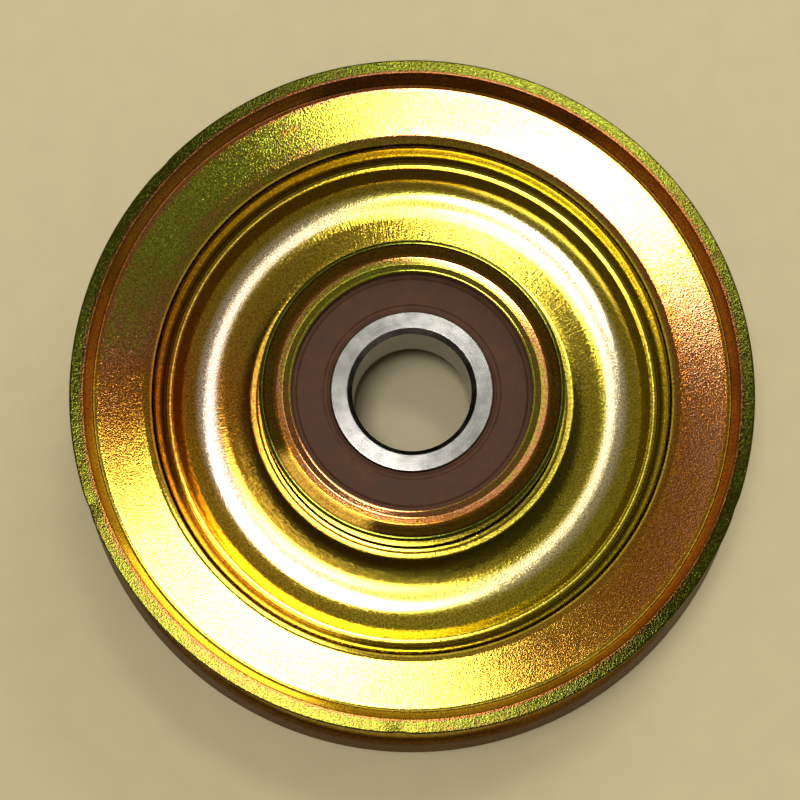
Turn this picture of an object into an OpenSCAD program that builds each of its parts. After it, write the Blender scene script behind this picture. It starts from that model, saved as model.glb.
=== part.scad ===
// Belt tensioner idler: a pressed-steel V-groove pulley running on a sealed deep-groove ball bearing.
// The bearing axis is +Z, the front face looks up, and the origin is the centre of the bearing bore.

/* [Bearing] */
// Bore diameter of the inner ring
bore_d = 17; // [16:0.5:18]
// Outside diameter of the outer ring
bearing_od = 40; // [40:0.5:42]
// Width of both rings along the axis
bearing_w = 12; // [12:0.5:14]
// Diameter of one ball
ball_d = 6.747; // [6:0.001:6.8]
// Diameter of the circle through the ball centres
pitch_d = 28.5; // [28.4:0.05:28.6]

/* [Hub] */
// Wall thickness of the hub cup around the bearing
cup_t = 1.7; // [1.4:0.1:2]
// Radius of the opening inside the front lip
front_lip_r = 17.1; // [16.8:0.1:17.5]
// Radius of the opening inside the rear flange
rear_lip_r = 17.3; // [16.8:0.1:18]

/* [Pulley halves] */
// Thickness of the pressed sheet
sheet_t = 2; // [1.8:0.1:2.2]
// Rim radius of the front half
front_rim_r = 48.3; // [47:0.1:50]
// Rim radius of the rear half
rear_rim_r = 50.4; // [48:0.1:52]
// Height of each rim above the plane where the halves meet
rim_h = 11.6; // [11:0.1:12.5]
// Distance from the bearing's middle back to the plane where the halves meet
web_offset = 2.2; // [1.8:0.1:2.6]
// Angle between the two walls of the belt groove, in degrees
groove_angle = 22; // [18:1:28]
// Lean of the turned-up rim from the axis, in degrees
rim_lean = 22; // [15:1:25]
// Height of the centre-line corner that would top the stiffening rib if it were not rounded
rib_apex = 1.76; // [1.6:0.02:1.8]

/* [Hidden] */
$fn = 120;
BALL_COUNT = 8;
ARC_STEPS = 8;

half_w = bearing_w / 2;
ring_od_r = bearing_od / 2;
pitch_r = pitch_d / 2;

// Raceways: the ball runs in a groove a little wider than itself
track_r = 0.5143 * ball_d;
inner_shoulder_r = pitch_r - 2;
outer_shoulder_r = pitch_r + 2.15;
bore_chamfer = [0.7, 0.9];
ring_chamfer = 0.8;

// Seals: a rubber skin over a steel core, snapped into the outer ring
land_r = 11.55;
lip_gap = 0.07;
land_w = half_w - 3.9;
seal_recess_r = 17.45;
seal_bead_r = 17.75;
seal_core_r = [12.5, 16.8];
seal_top = half_w - 0.4;
seal_skin_z = half_w - 0.9;
seal_core_z = half_w - 1.4;
seal_lip_z = half_w - 1.65;
seal_floor_z = half_w - 1.8;
bead_z = [half_w - 1.6, half_w - 1.0];

// Cage: two pressed ribbons with round pockets, riveted between the balls
pocket_r = ball_d / 2 + 0.08;
cage_t = 0.6;
cage_in_r = pitch_r - 1.25;
cage_out_r = pitch_r + 1.25;
rivet_r = 0.5;
rivet_head_r = 0.95;
rivet_head_t = 0.35;

// Hub cup: a drawn cup with a rear flange; its front end is pressed in over the outer ring
cup_r = ring_od_r + cup_t;
cup_mid_r = ring_od_r + cup_t / 2;
rear_bend_r = 1.45;
front_lip_t = 1.2;
dish = [[18.3, half_w + 1], [19.3, half_w + 1.1]];
cup_edge = [cup_r, half_w + 2.35];
edge_bend_r = 0.45;

// Pulley half: centre-line of the sheet as [radius, height above the meeting plane]
rib_in_r = 23.45;
rib_top_r = 30.5;
rib_out_r = 34.45;
rise_r = 36.6;
seat_r = 37.6;
seat_h = 6.5;
collar_t = 0.8;
collar_h = 2.9;
rim_drop = 0.08;
wall_tan = tan(groove_angle / 2);
lean_tan = tan(rim_lean);

function unit(v) = v / norm(v);
function left_of(v) = [-v[1], v[0]];
function turned(v, a) = [v[0] * cos(a) - v[1] * sin(a), v[0] * sin(a) + v[1] * cos(a)];
function reversed(v) = [for (i = [len(v) - 1 : -1 : 0]) v[i]];

// Rounds the corner p of the path a, p, b at centre-line radius r, moved to the left by shift
function corner(a, p, b, r, shift) =
    let (
        u = unit(p - a),
        w = unit(b - p),
        turn = atan2(u[0] * w[1] - u[1] * w[0], u * w),
        side = sign(turn),
        centre = p - u * r * tan(abs(turn) / 2) + left_of(u) * r * side,
        spoke = -side * left_of(u)
    )
    [for (i = [0 : ARC_STEPS]) centre + (r - side * shift) * turned(spoke, turn * i / ARC_STEPS)];

// The rounded corners of one face of a bent sheet: the path moved to the left by shift
function bent_face(path, radii, shift) =
    [for (i = [1 : len(path) - 2]) each corner(path[i - 1], path[i], path[i + 1], radii[i - 1], shift)];

// Radius at which the groove wall turns up so that the leaning rim ends at rim_r
function wall_end_r(rim_r) =
    (rim_r - sheet_t / (2 * cos(rim_lean)) - (rim_h - seat_h + seat_r * wall_tan) * lean_tan)
    / (1 - wall_tan * lean_tan);

function sheave_path(rim_r) =
    let (
        end_r = wall_end_r(rim_r),
        end_h = seat_h + (end_r - seat_r) * wall_tan
    )
    [
        [cup_r, sheet_t / 2],
        [rib_in_r, sheet_t / 2],
        [rib_top_r, sheet_t / 2 + rib_apex],
        [rib_out_r, sheet_t / 2],
        [rise_r, sheet_t / 2],
        [seat_r, seat_h],
        [end_r, end_h],
        [end_r + lean_tan, end_h + 1]
    ];

// Centre-line radius of each bend of that path, from the hub outwards
SHEAVE_BENDS = [2.8, 10, 2.3, 1.95, 1.2, 1.8];

module sheave_section(rim_r) {
    path = sheave_path(rim_r);
    polygon(concat(
        [[cup_r, 0], [cup_r, collar_h], [cup_r + collar_t, collar_h], [cup_r + collar_t, sheet_t]],
        bent_face(path, SHEAVE_BENDS, sheet_t / 2),
        [[rim_r - sheet_t / cos(rim_lean), rim_h], [rim_r, rim_h - rim_drop]],
        reversed(bent_face(path, SHEAVE_BENDS, -sheet_t / 2))
    ));
}

module at_each_ball() {
    for (k = [0 : BALL_COUNT - 1]) rotate(k * 360 / BALL_COUNT) translate([pitch_r, 0, 0]) children();
}

module front_sheave_half() {
    color([0.62, 0.48, 0.12]) translate([0, 0, -web_offset]) rotate_extrude() sheave_section(front_rim_r);
}

module rear_sheave_half() {
    color([0.55, 0.42, 0.12]) translate([0, 0, -web_offset]) mirror([0, 0, 1])
        rotate_extrude() sheave_section(rear_rim_r);
}

module bearing_housing() {
    path = [[rear_lip_r, -half_w - cup_t / 2], [cup_mid_r, -half_w - cup_t / 2], [cup_mid_r, half_w]];
    color([0.7, 0.42, 0.1]) rotate_extrude() polygon(concat(
        [[rear_lip_r, -half_w - cup_t], [rear_lip_r, -half_w]],
        bent_face(path, [rear_bend_r], cup_t / 2),
        [[ring_od_r, half_w], [front_lip_r, half_w], [front_lip_r, half_w + front_lip_t]],
        dish,
        corner(dish[1], cup_edge, [cup_r, -half_w], edge_bend_r, 0),
        reversed(bent_face(path, [rear_bend_r], -cup_t / 2))
    ));
}

module bearing_inner_ring() {
    r = bore_d / 2;
    color([0.8, 0.8, 0.77]) rotate_extrude() difference() {
        polygon([
            [r, bore_chamfer[1] - half_w], [r + bore_chamfer[0], -half_w],
            [land_r, -half_w], [land_r, land_w - half_w], [inner_shoulder_r, land_w - half_w],
            [inner_shoulder_r, half_w - land_w], [land_r, half_w - land_w], [land_r, half_w],
            [r + bore_chamfer[0], half_w], [r, half_w - bore_chamfer[1]]
        ]);
        translate([pitch_r, 0]) circle(r = track_r);
    }
}

module bearing_outer_ring() {
    front_half = [
        [outer_shoulder_r, seal_floor_z], [seal_recess_r, seal_floor_z], [seal_recess_r, bead_z[0]],
        [seal_bead_r, bead_z[0]], [seal_bead_r, bead_z[1]], [seal_recess_r, bead_z[1]],
        [seal_recess_r, half_w], [ring_od_r - ring_chamfer, half_w], [ring_od_r, half_w - ring_chamfer]
    ];
    color([0.75, 0.75, 0.73]) rotate_extrude() difference() {
        polygon(concat(front_half, [for (p = reversed(front_half)) [p[0], -p[1]]]));
        translate([pitch_r, 0]) circle(r = track_r);
    }
}

module ball(k) {
    color([0.85, 0.85, 0.86]) rotate((k - 1) * 360 / BALL_COUNT) translate([pitch_r, 0, 0]) sphere(d = ball_d);
}

module rivet_holes() {
    rotate(180 / BALL_COUNT) at_each_ball() cylinder(r = rivet_r, h = 4 * cage_t, center = true);
}

// The half of the cage in front of the balls' middle plane
module cage_half() {
    difference() {
        intersection() {
            rotate_extrude() translate([cage_in_r, 0]) square([cage_out_r - cage_in_r, half_w]);
            union() {
                cylinder(r = ring_od_r, h = cage_t);
                at_each_ball() sphere(r = pocket_r + cage_t);
            }
        }
        at_each_ball() sphere(r = pocket_r);
        rivet_holes();
    }
}

module cage_front_half() {
    color([0.62, 0.6, 0.56]) cage_half();
}

module cage_rear_half() {
    color([0.62, 0.6, 0.56]) mirror([0, 0, 1]) cage_half();
}

module cage_rivets() {
    color([0.7, 0.68, 0.62]) rotate(180 / BALL_COUNT) at_each_ball() {
        cylinder(r = rivet_r, h = 2 * cage_t, center = true);
        for (s = [-1, 1]) translate([0, 0, s * (cage_t + rivet_head_t / 2)])
            cylinder(r = rivet_head_r, h = rivet_head_t, center = true);
    }
}

// The seal in front of the balls; the rear one is its mirror image
module seal_rubber() {
    rotate_extrude() polygon([
        [land_r + lip_gap, seal_top], [land_r + lip_gap, seal_lip_z],
        [seal_core_r[0], seal_lip_z], [seal_core_r[0], seal_skin_z],
        [seal_core_r[1], seal_skin_z], [seal_core_r[1], seal_floor_z],
        [seal_recess_r, seal_floor_z], [seal_recess_r, bead_z[0]],
        [seal_bead_r, bead_z[0]], [seal_bead_r, bead_z[1]],
        [seal_recess_r, bead_z[1]], [seal_recess_r, seal_top]
    ]);
}

module seal_core() {
    rotate_extrude() translate([seal_core_r[0], seal_core_z])
        square([seal_core_r[1] - seal_core_r[0], seal_skin_z - seal_core_z]);
}

module front_seal_rubber() {
    color([0.34, 0.24, 0.2]) seal_rubber();
}

module front_seal_core() {
    color([0.66, 0.66, 0.64]) seal_core();
}

module rear_seal_rubber() {
    color([0.34, 0.24, 0.2]) mirror([0, 0, 1]) seal_rubber();
}

module rear_seal_core() {
    color([0.66, 0.66, 0.64]) mirror([0, 0, 1]) seal_core();
}

bearing_housing();
front_sheave_half();
rear_sheave_half();
bearing_outer_ring();
bearing_inner_ring();
for (k = [1 : BALL_COUNT]) ball(k);
cage_front_half();
cage_rear_half();
cage_rivets();
front_seal_rubber();
front_seal_core();
rear_seal_rubber();
rear_seal_core();
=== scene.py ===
import math

import bmesh
import bpy
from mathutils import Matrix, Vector


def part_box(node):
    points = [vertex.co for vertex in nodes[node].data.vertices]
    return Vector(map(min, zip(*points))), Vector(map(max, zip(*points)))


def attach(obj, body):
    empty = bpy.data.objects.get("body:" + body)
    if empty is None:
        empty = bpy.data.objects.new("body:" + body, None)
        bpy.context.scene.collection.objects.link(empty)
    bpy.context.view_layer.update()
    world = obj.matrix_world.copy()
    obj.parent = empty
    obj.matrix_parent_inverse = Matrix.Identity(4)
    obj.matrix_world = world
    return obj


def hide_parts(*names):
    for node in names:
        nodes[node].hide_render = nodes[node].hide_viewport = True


MM = 0.001
TURNS = 288          # facets round a large ring
ARC_DEG = 5.0        # widest facet along a rounded corner
HUB_TURNS = 240      # facets round a small ring

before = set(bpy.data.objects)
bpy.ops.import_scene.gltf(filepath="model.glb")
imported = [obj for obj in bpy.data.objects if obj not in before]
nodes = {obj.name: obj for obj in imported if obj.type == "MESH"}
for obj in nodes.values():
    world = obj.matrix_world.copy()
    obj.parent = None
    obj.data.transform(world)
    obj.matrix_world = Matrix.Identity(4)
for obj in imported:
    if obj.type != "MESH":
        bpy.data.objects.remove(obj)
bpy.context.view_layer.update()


# ---------------------------------------------------------------- sizes from the frame, in millimetres

def reach(node):
    """Outer radius, lowest and highest height of a node that is round about Z."""
    low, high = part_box(node)
    return high.x / MM, low.z / MM, high.z / MM


FRONT_RIM_R, WEB_Z, FRONT_RIM_Z = reach("front_sheave_half")
REAR_RIM_R, REAR_RIM_Z, _ = reach("rear_sheave_half")
CUP_R, _, _ = reach("bearing_housing")
RING_R, _, FACE = reach("bearing_outer_ring")
BORE_R = 8.5
SHEET = 2.0
RIM_H = FRONT_RIM_Z - WEB_Z
CUP_T = CUP_R - RING_R


# ---------------------------------------------------------------- outlines

def left_of(v):
    return Vector((-v.y, v.x))


def offset_path(path, shift):
    """The path moved sideways by shift, its corners kept as mitres."""
    points = [Vector(p) for p in path]
    out = []
    for i, p in enumerate(points):
        before = (p - points[i - 1]).normalized() if i else None
        after = (points[i + 1] - p).normalized() if i + 1 < len(points) else None
        if before is None or after is None:
            out.append(p + left_of(after or before) * shift)
            continue
        middle = (left_of(before) + left_of(after)).normalized()
        out.append(p + middle * shift / middle.dot(left_of(before)))
    return out


def turn_between(a, p, b):
    u, w = (p - a).normalized(), (b - p).normalized()
    return math.atan2(u.x * w.y - u.y * w.x, u.dot(w))


def bent_face(path, radii, shift):
    """One face of a bent sheet as corners (radius from the axis, height, rounding)."""
    points = [Vector(p) for p in path]
    moved = offset_path(path, shift)
    out = []
    for i in range(1, len(path) - 1):
        side = math.copysign(1.0, turn_between(points[i - 1], points[i], points[i + 1]))
        out.append((moved[i].x, moved[i].y, radii[i - 1] - side * shift))
    return out


def rounded(corners, step=1.4, edge=0.12):
    """A closed outline from corners (r, z, rounding). Straight runs get points close to their ends."""
    n = len(corners)
    ring = [Vector((c[0], c[1])) for c in corners]
    arcs = []
    for i in range(n):
        a, p, b = ring[i - 1], ring[i], ring[(i + 1) % n]
        radius = corners[i][2]
        turn = turn_between(a, p, b)
        if radius <= 0 or abs(turn) < 1e-4:
            arcs.append([p])
            continue
        u = (p - a).normalized()
        side = math.copysign(1.0, turn)
        centre = p - u * radius * math.tan(abs(turn) / 2) + left_of(u) * radius * side
        spoke = -side * left_of(u)
        count = max(2, math.ceil(abs(math.degrees(turn)) / ARC_DEG))
        steps = [turn * k / count for k in range(count + 1)]
        arcs.append([
            centre + radius * Vector((
                spoke.x * math.cos(t) - spoke.y * math.sin(t),
                spoke.x * math.sin(t) + spoke.y * math.cos(t),
            ))
            for t in steps
        ])
    out = []
    for i in range(n):
        arc = arcs[i]
        out += [(p.x, p.y) for p in arc]
        start, end = arc[-1], arcs[(i + 1) % n][0]
        length = (end - start).length
        if length < 3 * edge:
            continue
        inner = max(1, round(length / step))
        stations = [edge / length] + [k / inner for k in range(1, inner)] + [1 - edge / length]
        out += [tuple(start.lerp(end, s)) for s in stations]
    return out


# ---------------------------------------------------------------- meshes

def lathe(name, outline, turns, body, replaced, material, wobble=None, sharp_deg=32):
    """Turns a closed outline in millimetres about Z. wobble(r, z, angle) gives a small move (dr, dz)."""
    bm = bmesh.new()
    rings = []
    for k in range(turns):
        angle = 2 * math.pi * k / turns
        ca, sa = math.cos(angle), math.sin(angle)
        ring = []
        for r, z in outline:
            dr, dz = wobble(r, z, angle) if wobble else (0.0, 0.0)
            ring.append(bm.verts.new(((r + dr) * ca * MM, (r + dr) * sa * MM, (z + dz) * MM)))
        rings.append(ring)
    count = len(outline)
    for k in range(turns):
        here, there = rings[k], rings[(k + 1) % turns]
        for i in range(count):
            j = (i + 1) % count
            bm.faces.new((here[i], here[j], there[j], there[i]))
    bmesh.ops.recalc_face_normals(bm, faces=bm.faces)
    for face in bm.faces:
        face.smooth = True
    for edge in bm.edges:
        if edge.calc_face_angle(0.0) > math.radians(sharp_deg):
            edge.smooth = False
    mesh = bpy.data.meshes.new(name)
    bm.to_mesh(mesh)
    bm.free()
    mesh.materials.append(material)
    piece = bpy.data.objects.new(name, mesh)
    bpy.context.scene.collection.objects.link(piece)
    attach(piece, body)
    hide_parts(replaced)


# ---------------------------------------------------------------- node helpers

class Tree:
    """A material's node tree with short calls for the nodes used here."""

    def __init__(self, name):
        self.material = bpy.data.materials.new(name)
        self.material.use_nodes = True
        self.nodes = self.material.node_tree.nodes
        self.links = self.material.node_tree.links
        self.shader = self.nodes["Principled BSDF"]

    def feed(self, socket, value):
        if isinstance(value, bpy.types.NodeSocket):
            self.links.new(value, socket)
        else:
            socket.default_value = value

    def math(self, operation, *values):
        node = self.nodes.new("ShaderNodeMath")
        node.operation = operation
        for socket, value in zip(node.inputs, values):
            self.feed(socket, value)
        return node.outputs[0]

    def spread(self, value, low, high, to_low=0.0, to_high=1.0, smooth=True):
        node = self.nodes.new("ShaderNodeMapRange")
        node.interpolation_type = "SMOOTHSTEP" if smooth else "LINEAR"
        for socket, v in zip(node.inputs[:5], (value, low, high, to_low, to_high)):
            self.feed(socket, v)
        return node.outputs[0]

    def noise(self, vector, scale, detail=3.0, roughness=0.55):
        node = self.nodes.new("ShaderNodeTexNoise")
        self.feed(node.inputs["Vector"], vector)
        node.inputs["Scale"].default_value = scale
        node.inputs["Detail"].default_value = detail
        node.inputs["Roughness"].default_value = roughness
        return node.outputs["Fac"]

    def combine(self, x, y, z):
        node = self.nodes.new("ShaderNodeCombineXYZ")
        for socket, value in zip(node.inputs, (x, y, z)):
            self.feed(socket, value)
        return node.outputs[0]

    def ramp(self, value, stops, ease="LINEAR"):
        node = self.nodes.new("ShaderNodeValToRGB")
        ramp = node.color_ramp
        ramp.interpolation = ease
        ramp.elements.remove(ramp.elements[1])
        ramp.elements[0].position = stops[0][0]
        ramp.elements[0].color = (*stops[0][1], 1)
        for place, colour in stops[1:]:
            ramp.elements.new(place).color = (*colour, 1)
        self.feed(node.inputs[0], value)
        return node.outputs[0]

    def mix(self, factor, a, b, blend="MIX"):
        node = self.nodes.new("ShaderNodeMix")
        node.data_type = "RGBA"
        node.blend_type = blend
        self.feed(node.inputs[0], factor)
        self.feed(node.inputs[6], a)
        self.feed(node.inputs[7], b)
        return node.outputs[2]

    def bump(self, height, strength, distance):
        node = self.nodes.new("ShaderNodeBump")
        node.inputs["Strength"].default_value = strength
        node.inputs["Distance"].default_value = distance
        self.feed(node.inputs["Height"], height)
        return node.outputs[0]

    def round_coordinates(self):
        """Position in millimetres, radius from the axis, angle in radians and height."""
        place = self.nodes.new("ShaderNodeTexCoord").outputs["Object"]
        scaled = self.nodes.new("ShaderNodeVectorMath")
        scaled.operation = "SCALE"
        scaled.inputs["Scale"].default_value = 1 / MM
        self.links.new(place, scaled.inputs[0])
        parts = self.nodes.new("ShaderNodeSeparateXYZ")
        self.links.new(scaled.outputs[0], parts.inputs[0])
        x, y, z = parts.outputs
        squares = self.math("ADD", self.math("MULTIPLY", x, x), self.math("MULTIPLY", y, y))
        radius = self.math("SQRT", squares)
        return scaled.outputs[0], radius, self.math("ARCTAN2", y, x), z

    def turned_tangent(self, rotation):
        node = self.nodes.new("ShaderNodeTangent")
        node.direction_type = "RADIAL"
        node.axis = "Z"
        self.links.new(node.outputs[0], self.shader.inputs["Tangent"])
        self.shader.inputs["Anisotropic Rotation"].default_value = rotation


# ---------------------------------------------------------------- materials

# colours of the chromate film in order of its thickness
FILM = [
    (0.00, (0.80, 0.60, 0.08)),
    (0.14, (0.72, 0.42, 0.05)),
    (0.28, (0.54, 0.25, 0.03)),
    (0.40, (0.42, 0.16, 0.02)),
    (0.50, (0.44, 0.18, 0.09)),
    (0.58, (0.36, 0.23, 0.04)),
    (0.68, (0.27, 0.30, 0.03)),
    (0.80, (0.44, 0.48, 0.05)),
    (0.90, (0.66, 0.60, 0.08)),
    (1.00, (0.80, 0.66, 0.54)),
]
# how far the film moves along FILM round the part, by degrees from +X: partly the film's own thickness,
# and a painted highlight in the bright gold from -150 to -85, where the key light's highlight falls on the
# groove wall
FILM_AND_LIGHT_ROUND = [
    (-180, 0.39), (-165, 0.20), (-150, 0.06), (-110, 0.03), (-85, 0.06),
    (-60, 0.24), (-40, 0.36), (-10, 0.44), (20, 0.48), (45, 0.52),
    (80, 0.60), (110, 0.66), (150, 0.66), (168, 0.56), (180, 0.39),
]


# base colours of the web inside the groove wall, and a painted highlight laid as a pale band on the rib's
# crest, by degrees from +X;
# the radii bound them in millimetres
WEB_END = 37.4
PAINTED_HIGHLIGHT_BAND = (27.6, 31.6)
BLEND = 1.2
WEB_ROUND = [
    (-180, (0.56, 0.26, 0.03)),
    (-135, (0.68, 0.40, 0.04)),
    (-90, (0.62, 0.52, 0.05)),
    (-45, (0.52, 0.50, 0.05)),
    (0, (0.52, 0.47, 0.04)),
    (45, (0.50, 0.44, 0.04)),
    (90, (0.44, 0.32, 0.03)),
    (135, (0.46, 0.30, 0.03)),
    (180, (0.56, 0.26, 0.03)),
]
PAINTED_HIGHLIGHT_ROUND = [
    (-180, (0.80, 0.64, 0.52)),
    (-130, (0.78, 0.62, 0.42)),
    (-90, (0.70, 0.62, 0.10)),
    (-50, (0.78, 0.66, 0.34)),
    (0, (0.80, 0.68, 0.44)),
    (50, (0.78, 0.66, 0.40)),
    (90, (0.68, 0.62, 0.10)),
    (130, (0.78, 0.64, 0.42)),
    (180, (0.80, 0.64, 0.52)),
]


# how far each noise moves the film's thickness
DRIFT, CLOUD, GRAIN, STREAK = 0.14, 0.20, 0.50, 0.24
FILM_MEAN = 0.4

# the turned-up rim, as distances inside a half's largest radius: painted shade that darkens its colour,
# and a rougher relief a little further in
RIM_BAND = (2.5, 1.9)
RIM_ROUGH = (3.2, 2.0)
RIM_PAINTED_SHADE, RIM_FILM_SHARE, RIM_PEBBLE = 0.25, 0.1, 2.2

# the web is softer to the light and less pebbled than the groove wall
WEB_ROUGHER, WEB_PEBBLE, WEB_PEBBLE_R = 0.05, 0.8, 33.0
# radii between which lines from drawing the sheet run outwards from the hub
DRAWN_START, DRAWN_END = (22.6, 24.0), (28.5, 26.5)
DRAWN_HEIGHT, TURNED_HEIGHT = 1.8, 0.12
RELIEF = 0.000029    # height of the plate's relief, in metres


def zinc_plate(name, film_by_radius, low_r, rim_r, round_share, seed, dished=False, pebbled=1.0):
    """Yellow-chromated zinc: a film whose colour follows its thickness, over finely pebbled plate.

    film_by_radius runs from low_r to rim_r and round_share is how much FILM_AND_LIGHT_ROUND adds to it.
    dished gives the web its own colours and a painted highlight on the rib's crest, and pebbled scales the
    plate's relief.
    """
    t = Tree(name)
    place, radius, angle, height = t.round_coordinates()
    shifted = t.nodes.new("ShaderNodeVectorMath")
    shifted.operation = "ADD"
    shifted.inputs[1].default_value = (seed * 13.7, seed * 5.1, seed * 2.3)
    t.links.new(place, shifted.inputs[0])
    place = shifted.outputs[0]
    cosine, sine = t.math("COSINE", angle), t.math("SINE", angle)

    station = t.spread(radius, low_r, rim_r, smooth=False)
    base_film = t.ramp(station, [(s, (v, v, v)) for s, v in film_by_radius])
    turn = t.spread(angle, -math.pi, math.pi, smooth=False)
    # the angle table carries painted light along with the film: a gold painted highlight on the lower left
    # of the groove wall
    round_film_and_light = t.ramp(turn, [(a / 360 + 0.5, (v, v, v)) for a, v in FILM_AND_LIGHT_ROUND], ease="EASE")
    drift = t.noise(place, 0.055, detail=2.0)
    cloud = t.noise(place, 0.32, detail=4.0, roughness=0.62)
    grain = t.noise(place, 2.6, detail=3.0, roughness=0.7)
    pebble = t.noise(place, 4.0, detail=2.5, roughness=0.65)
    ring_place = t.combine(t.math("MULTIPLY", cosine, 2.2), t.math("MULTIPLY", sine, 2.2),
                           t.math("MULTIPLY", radius, 3.4))
    streak = t.noise(ring_place, 1.0, detail=4.0, roughness=0.65)
    band_start, band_end = (rim_r - inside for inside in RIM_BAND)
    share = t.spread(radius, band_start, band_end, round_share, RIM_FILM_SHARE * round_share)
    film = t.math("ADD", base_film, t.math("MULTIPLY", t.math("SUBTRACT", round_film_and_light, FILM_MEAN), share))
    for noise, size in ((drift, DRIFT), (cloud, CLOUD), (grain, GRAIN), (streak, STREAK)):
        film = t.math("ADD", film, t.math("MULTIPLY", t.math("SUBTRACT", noise, 0.5), size))
    colour = t.ramp(film, FILM)
    if dished:
        web_colour = t.ramp(turn, [(a / 360 + 0.5, c) for a, c in WEB_ROUND], ease="EASE")
        in_web = t.spread(radius, WEB_END + BLEND / 2, WEB_END - BLEND / 2, 0.0, 0.75)
        colour = t.mix(in_web, colour, web_colour)
        # painted highlight: a pale band along the rib's crest, mixed over the film colour
        past_start = t.spread(radius, PAINTED_HIGHLIGHT_BAND[0], PAINTED_HIGHLIGHT_BAND[0] + BLEND)
        before_end = t.spread(radius, PAINTED_HIGHLIGHT_BAND[1], PAINTED_HIGHLIGHT_BAND[1] - BLEND)
        painted_highlight_colour = t.ramp(turn, [(a / 360 + 0.5, c) for a, c in PAINTED_HIGHLIGHT_ROUND], ease="EASE")
        colour = t.mix(t.math("MULTIPLY", past_start, before_end), colour, painted_highlight_colour)
    shade = t.spread(pebble, 0.34, 0.66, 0.52, 1.26, smooth=False)
    # painted shade: the colour darkens across the rim band of both halves
    shade = t.math("MULTIPLY", shade, t.spread(radius, band_start, band_end, 1.0, RIM_PAINTED_SHADE))
    t.feed(t.shader.inputs["Base Color"], t.mix(1.0, colour, t.combine(shade, shade, shade), "MULTIPLY"))
    t.shader.inputs["Metallic"].default_value = 1.0

    rough = t.spread(grain, 0.3, 0.75, 0.055, 0.08)
    rough = t.math("ADD", rough, t.math("MULTIPLY", t.math("SUBTRACT", cloud, 0.5), 0.02))
    if dished:
        rough = t.math("ADD", rough, t.spread(radius, WEB_END, RIB_OUT, 0.0, WEB_ROUGHER))
    t.feed(t.shader.inputs["Roughness"], rough)

    draw_place = t.combine(t.math("MULTIPLY", cosine, 95.0), t.math("MULTIPLY", sine, 95.0),
                           t.math("MULTIPLY", radius, 0.55))
    draw = t.noise(draw_place, 1.0, detail=2.0)
    drawn = t.math("MULTIPLY", t.spread(radius, *DRAWN_START), t.spread(radius, *DRAWN_END))
    turned_place = t.combine(t.math("MULTIPLY", radius, 9.0), 0.0, t.math("MULTIPLY", height, 9.0))
    groove_lines = t.noise(turned_place, 1.0, detail=3.0)
    rough_start, rough_end = (rim_r - inside for inside in RIM_ROUGH)
    depth = t.spread(radius, rough_start, rough_end, pebbled, RIM_PEBBLE * pebbled)
    if dished:
        depth = t.math("MULTIPLY", depth, t.spread(radius, WEB_PEBBLE_R, WEB_END, WEB_PEBBLE, 1.0))
    pebble_height = t.math("MULTIPLY", pebble, depth)
    surface = t.math("ADD", pebble_height, t.math("MULTIPLY", groove_lines, TURNED_HEIGHT))
    surface = t.math("ADD", surface, t.math("MULTIPLY", t.math("MULTIPLY", draw, drawn), DRAWN_HEIGHT))
    t.feed(t.shader.inputs["Normal"], t.bump(surface, 0.5, RELIEF))
    return t.material


GRIND_SCALE = 14.0   # grinding lines to a millimetre, roughly


def ground_steel(name, colour, rough):
    """Ground bearing steel with fine lines round the axis."""
    t = Tree(name)
    place, radius, angle, height = t.round_coordinates()
    ring_place = t.combine(t.math("MULTIPLY", radius, GRIND_SCALE), t.math("MULTIPLY", angle, 0.7),
                           t.math("MULTIPLY", height, GRIND_SCALE))
    lines = t.noise(ring_place, 1.0, detail=4.0, roughness=0.7)
    stain = t.noise(place, 0.5, detail=4.0, roughness=0.6)
    shade = t.math("ADD", t.math("MULTIPLY", lines, 0.5), t.math("MULTIPLY", stain, 0.5))
    dark = tuple(c * 0.74 for c in colour)
    t.feed(t.shader.inputs["Base Color"], t.ramp(shade, [(0.3, dark), (0.65, colour)]))
    t.shader.inputs["Metallic"].default_value = 1.0
    t.shader.inputs["Anisotropic"].default_value = 0.4
    t.turned_tangent(0.25)
    t.feed(t.shader.inputs["Roughness"], t.spread(shade, 0.3, 0.7, rough - 0.05, rough + 0.08))
    t.feed(t.shader.inputs["Normal"], t.bump(lines, 0.25, 0.00001))
    return t.material


def seal_rubber(name):
    """Brown moulded rubber with a fine matt skin."""
    t = Tree(name)
    place = t.round_coordinates()[0]
    patch = t.noise(place, 0.45, detail=4.0, roughness=0.6)
    speck = t.noise(place, 6.0, detail=2.0)
    shade = t.math("ADD", t.math("MULTIPLY", patch, 0.7), t.math("MULTIPLY", speck, 0.3))
    t.feed(t.shader.inputs["Base Color"],
           t.ramp(shade, [
               (0.30, (0.042, 0.018, 0.008)),
               (0.50, (0.060, 0.026, 0.012)),
               (0.72, (0.084, 0.040, 0.021)),
           ]))
    t.feed(t.shader.inputs["Roughness"], t.spread(shade, 0.3, 0.7, 0.42, 0.58))
    t.shader.inputs["Specular IOR Level"].default_value = 0.10
    t.feed(t.shader.inputs["Normal"], t.bump(speck, 0.3, 0.00004))
    return t.material


def floor_paper(name):
    """Pale warm backdrop paper."""
    t = Tree(name)
    place = t.nodes.new("ShaderNodeTexCoord").outputs["Object"]
    fleck = t.noise(place, 220.0, detail=3.0)
    colour = t.ramp(fleck, [(0.3, (0.49, 0.43, 0.27)), (0.7, (0.51, 0.45, 0.28))])
    t.feed(t.shader.inputs["Base Color"], colour)
    t.shader.inputs["Roughness"].default_value = 0.85
    t.shader.inputs["Specular IOR Level"].default_value = 0.2
    return t.material


# ---------------------------------------------------------------- pulley halves

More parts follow.
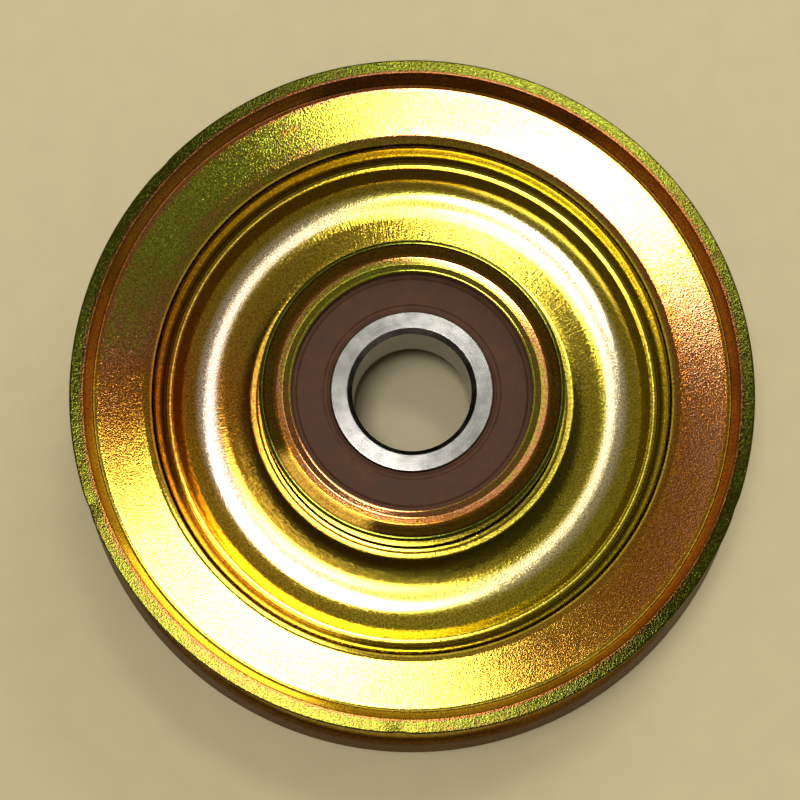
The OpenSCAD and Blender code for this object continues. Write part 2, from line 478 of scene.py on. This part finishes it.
WALL_TAN = math.tan(math.radians(11))
LEAN = math.radians(22)
RIB_IN, RIB_TOP, RIB_OUT, RIB_APEX = 23.45, 30.5, 34.45, 1.76
RISE_R, SEAT_R, SEAT_H = 36.6, 37.6, 6.5
COLLAR_T, COLLAR_H = 0.8, 2.9
RIM_DROP = 0.08
SHEAVE_BENDS = [2.8, 10.0, 2.3, 1.95, 1.2, 1.8]


def sheave_outline(rim_r):
    """Corners (radius, height above the meeting plane, rounding) of a pulley half's section."""
    half = SHEET / 2
    end_r = (rim_r - half / math.cos(LEAN) - (RIM_H - SEAT_H + SEAT_R * WALL_TAN) * math.tan(LEAN)) / (
        1 - WALL_TAN * math.tan(LEAN))
    end_h = SEAT_H + (end_r - SEAT_R) * WALL_TAN
    path = [
        (CUP_R, half), (RIB_IN, half), (RIB_TOP, half + RIB_APEX), (RIB_OUT, half),
        (RISE_R, half), (SEAT_R, SEAT_H), (end_r, end_h), (end_r + math.tan(LEAN), end_h + 1),
    ]
    front = bent_face(path, SHEAVE_BENDS, half)
    back = bent_face(path, SHEAVE_BENDS, -half)
    return (
        [(CUP_R, 0.0, 0.0), (CUP_R, COLLAR_H, 0.25), (CUP_R + COLLAR_T, COLLAR_H, 0.3),
         (CUP_R + COLLAR_T, SHEET, 0.1)]
        + front
        + [(rim_r - SHEET / math.cos(LEAN), RIM_H, 0.22), (rim_r, RIM_H - RIM_DROP, 0.25)]
        + back[::-1]
    )


# nicks in the front rim's outer edge: degrees from +X, half width in degrees, depth in millimetres
NICKS = [(-92, 1.0, 0.22), (-21, 1.2, 0.12), (138, 1.3, 0.12), (201, 1.1, 0.16)]


def rim_wear(r, z, angle):
    """The move of a point on the front rim's outer edge where a nick presses it in."""
    if r < FRONT_RIM_R - 0.5 or z < FRONT_RIM_Z - 0.6:
        return 0.0, 0.0
    depth = 0.0
    for place, width, size in NICKS:
        away = (math.degrees(angle) - place + 180) % 360 - 180
        depth += size * math.exp(-((away / width) ** 2))
    return -depth, -0.7 * depth


def sheave_half(name, node, rim_r, facing, material, wobble=None):
    corners = [(r, WEB_Z + facing * h, c) for r, h, c in sheave_outline(rim_r)]
    lathe(name, rounded(corners), TURNS, "pulley", node, material, wobble)


# film thickness along the radius from the hub cup to the rim, as a share of FILM's range
FRONT_FILM = [
    (0.00, 0.44), (0.06, 0.42), (0.16, 0.38), (0.26, 0.42), (0.35, 0.42),
    (0.43, 0.38), (0.50, 0.42), (0.58, 0.37), (0.63, 0.34), (0.68, 0.41),
    (0.84, 0.42), (0.88, 0.16), (0.91, 0.18), (0.94, 0.68), (1.00, 0.68),
]
REAR_FILM = [(0.0, 0.34), (0.5, 0.26), (0.8, 0.24), (0.9, 0.30), (1.0, 0.36)]

zinc_front = zinc_plate("zinc_front", FRONT_FILM, CUP_R, FRONT_RIM_R, 1.0, seed=1, dished=True)
zinc_rear = zinc_plate("zinc_rear", REAR_FILM, CUP_R, REAR_RIM_R, 0.7, seed=2)
sheave_half("pulley_front", "front_sheave_half", FRONT_RIM_R, 1, zinc_front, rim_wear)
sheave_half("pulley_rear", "rear_sheave_half", REAR_RIM_R, -1, zinc_rear)


# ---------------------------------------------------------------- hub cup

REAR_LIP_R, FRONT_LIP_R = 17.3, 17.1
FRONT_LIP_T = 1.2
DISH = [(18.3, FACE + 1.0, 0.4), (19.3, FACE + 1.1, 0.25)]
EDGE_Z = FACE + 2.35


def cup_outline():
    middle = RING_R + CUP_T / 2
    path = [(REAR_LIP_R, -FACE - CUP_T / 2), (middle, -FACE - CUP_T / 2), (middle, FACE)]
    inner = bent_face(path, [1.45], CUP_T / 2)
    outer = bent_face(path, [1.45], -CUP_T / 2)
    return (
        [(REAR_LIP_R, -FACE - CUP_T, 0.3), (REAR_LIP_R, -FACE, 0.2)]
        + inner
        + [(RING_R, FACE, 0.0), (FRONT_LIP_R, FACE, 0.15), (FRONT_LIP_R, FACE + FRONT_LIP_T, 0.3)]
        + DISH
        + [(CUP_R, EDGE_Z, 0.5)]
        + outer[::-1]
    )


CUP_FILM = [
    (0.00, 0.60), (0.26, 0.58), (0.42, 0.50), (0.48, 0.44),
    (0.56, 0.20), (0.80, 0.18), (0.88, 0.84), (1.00, 0.62),
]
zinc_cup = zinc_plate("zinc_cup", CUP_FILM, FRONT_LIP_R, CUP_R, 0.3, seed=3, pebbled=0.25)
lathe("hub_cup", rounded(cup_outline(), step=1.0), HUB_TURNS, "pulley", "bearing_housing",
      zinc_cup)


# ---------------------------------------------------------------- bearing

PITCH_R, TRACK_R = 14.25, 3.47
LAND_R, LAND_DEPTH = 11.55, 2.1
INNER_SHOULDER_R, OUTER_SHOULDER_R = 12.25, 16.4
RECESS_R, BEAD_R = 17.45, 17.75
CORE_IN, CORE_OUT = 12.5, 16.8


def track_arc(sign, shoulder):
    """Points of the ball track in a ring's shoulder, from -z to +z; sign is 1 on the outer ring."""
    half = math.acos((shoulder - PITCH_R) * sign / TRACK_R)
    count = 24
    angles = [-half + 2 * half * k / count for k in range(count + 1)]
    return [(PITCH_R + sign * TRACK_R * math.cos(a), TRACK_R * math.sin(a), 0.0) for a in angles]


ring_steel = ground_steel("ring_steel", (0.19, 0.19, 0.175), 0.2)
inner_corners = (
    [(BORE_R, FACE - 0.9, 0.12), (BORE_R, -FACE + 0.9, 0.12), (BORE_R + 0.7, -FACE, 0.12),
     (LAND_R, -FACE, 0.15), (LAND_R, -FACE + LAND_DEPTH, 0.1), (INNER_SHOULDER_R, -FACE + LAND_DEPTH, 0.1)]
    + track_arc(-1, INNER_SHOULDER_R)
    + [(INNER_SHOULDER_R, FACE - LAND_DEPTH, 0.1), (LAND_R, FACE - LAND_DEPTH, 0.1), (LAND_R, FACE, 0.15),
       (BORE_R + 0.7, FACE, 0.12)]
)
lathe("race_inner", rounded(inner_corners, step=0.8), HUB_TURNS, "inner_race", "bearing_inner_ring",
      ring_steel)

outer_half = [
    (OUTER_SHOULDER_R, FACE - 1.8, 0.1), (RECESS_R, FACE - 1.8, 0.0), (RECESS_R, FACE - 1.6, 0.0),
    (BEAD_R, FACE - 1.6, 0.0), (BEAD_R, FACE - 1.0, 0.0), (RECESS_R, FACE - 1.0, 0.0),
    (RECESS_R, FACE, 0.15), (RING_R - 0.8, FACE, 0.2), (RING_R, FACE - 0.8, 0.2),
]
outer_corners = (
    outer_half
    + [(r, -z, c) for r, z, c in outer_half[::-1]]
    + track_arc(1, OUTER_SHOULDER_R)
)
lathe("race_outer", rounded(outer_corners, step=0.8), HUB_TURNS, "pulley", "bearing_outer_ring",
      ring_steel)


def seal_corners(facing):
    top = FACE - 0.4
    corners = [
        (LAND_R + 0.07, top - 0.1, 0.1), (LAND_R + 0.07, FACE - 1.65, 0.15), (CORE_IN, FACE - 1.65, 0.1),
        (CORE_IN, FACE - 0.9, 0.0), (CORE_OUT, FACE - 0.9, 0.0), (CORE_OUT, FACE - 1.8, 0.0),
        (RECESS_R, FACE - 1.8, 0.0), (RECESS_R, FACE - 1.6, 0.0), (BEAD_R, FACE - 1.6, 0.0),
        (BEAD_R, FACE - 1.0, 0.0), (RECESS_R, FACE - 1.0, 0.0), (RECESS_R, top - 0.15, 0.1),
        (CORE_OUT - 0.2, top - 0.15, 0.2), (CORE_OUT - 0.5, top, 0.2), (CORE_IN + 0.25, top, 0.2),
        (CORE_IN, top - 0.14, 0.15), (CORE_IN - 0.35, top - 0.14, 0.15), (CORE_IN - 0.6, top - 0.02, 0.15),
    ]
    return [(r, facing * z, c) for r, z, c in corners]


rubber = seal_rubber("seal_rubber")
for side, facing in (("front", 1), ("rear", -1)):
    lathe(f"seal_{side}", rounded(seal_corners(facing), step=0.8), HUB_TURNS, "pulley",
          f"{side}_seal_rubber", rubber)

core_steel = ground_steel("core_steel", (0.45, 0.45, 0.44), 0.4)
cage_steel = ground_steel("cage_steel", (0.50, 0.49, 0.46), 0.35)
ball_steel = ground_steel("ball_steel", (0.72, 0.72, 0.73), 0.12)


def dress(node, material):
    node.data.materials.clear()
    node.data.materials.append(material)


for name, node in nodes.items():
    if name.endswith("_core"):
        dress(node, core_steel)
    elif name.startswith("cage"):
        dress(node, cage_steel)
    elif name.startswith("ball_"):
        dress(node, ball_steel)


# ---------------------------------------------------------------- floor, light and camera

def floor():
    bm = bmesh.new()
    bmesh.ops.create_grid(bm, x_segments=8, y_segments=8, size=3.0)
    mesh = bpy.data.meshes.new("floor")
    bm.to_mesh(mesh)
    bm.free()
    mesh.materials.append(floor_paper("floor_paper"))
    piece = bpy.data.objects.new("floor", mesh)
    piece.location = (0, 0, REAR_RIM_Z * MM)
    bpy.context.scene.collection.objects.link(piece)


def direction(azimuth, tilt):
    """Unit vector tilted from straight up towards an azimuth, both in degrees."""
    a, t = math.radians(azimuth), math.radians(tilt)
    return Vector((math.sin(t) * math.cos(a), math.sin(t) * math.sin(a), math.cos(t)))


def softbox(name, azimuth, tilt, width, depth, radiance, colour, shape="RECTANGLE", distance=1.1):
    """A flat light facing the part; width runs round the part's axis and depth across it, in metres."""
    light = bpy.data.lights.new(name, "AREA")
    light.shape = shape
    light.size, light.size_y = width, depth
    area = width * depth * (math.pi / 4 if shape == "ELLIPSE" else 1.0)
    light.energy = radiance * math.pi * area
    light.color = colour
    lamp = bpy.data.objects.new(name, light)
    lamp.location = direction(azimuth, tilt) * distance
    lamp.rotation_euler = (-lamp.location).to_track_quat("-Z", "Y").to_euler()
    bpy.context.scene.collection.objects.link(lamp)


def lights():
    softbox("above", 200, 5.9, 0.32, 0.26, 30.0, (1.0, 0.96, 0.94), "ELLIPSE")
    softbox("above_dim", 95, 11, 0.32, 0.28, 1.4, (1.0, 0.97, 0.94), "ELLIPSE", 1.2)
    softbox("key", 72, 22.5, 0.25, 0.15, 19.0, (1.0, 0.98, 0.95))
    softbox("side", 58, 57, 0.60, 0.50, 4.2, (1.0, 0.98, 0.95))
    for azimuth in (20, 80, 140, 200, 320):
        softbox(f"wall_{azimuth}", azimuth, 76, 1.15, 0.50, 0.5, (1.0, 0.92, 0.72))
    world = bpy.data.worlds.new("studio")
    world.use_nodes = True
    world.node_tree.nodes["Background"].inputs["Color"].default_value = (1.0, 0.92, 0.66, 1)
    world.node_tree.nodes["Background"].inputs["Strength"].default_value = 0.27
    bpy.context.scene.world = world


CAMERA_TILT = 10.6       # degrees from straight above, towards -Y
CAMERA_DISTANCE = 290.0  # from the bearing's front face
LENS = 92.0
AIM = Vector((-1.7, -1.3, 6.0))


def camera():
    data = bpy.data.cameras.new("camera")
    data.lens = LENS
    data.sensor_width = 36.0
    data.clip_start = 0.01
    data.dof.use_dof = False
    eye = bpy.data.objects.new("camera", data)
    back = direction(-90, CAMERA_TILT)
    eye.location = (AIM + back * CAMERA_DISTANCE) * MM
    eye.rotation_euler = back.to_track_quat("Z", "Y").to_euler()
    bpy.context.scene.collection.objects.link(eye)
    bpy.context.scene.camera = eye


floor()
lights()
camera()
bpy.context.scene.view_settings.view_transform = "Standard"
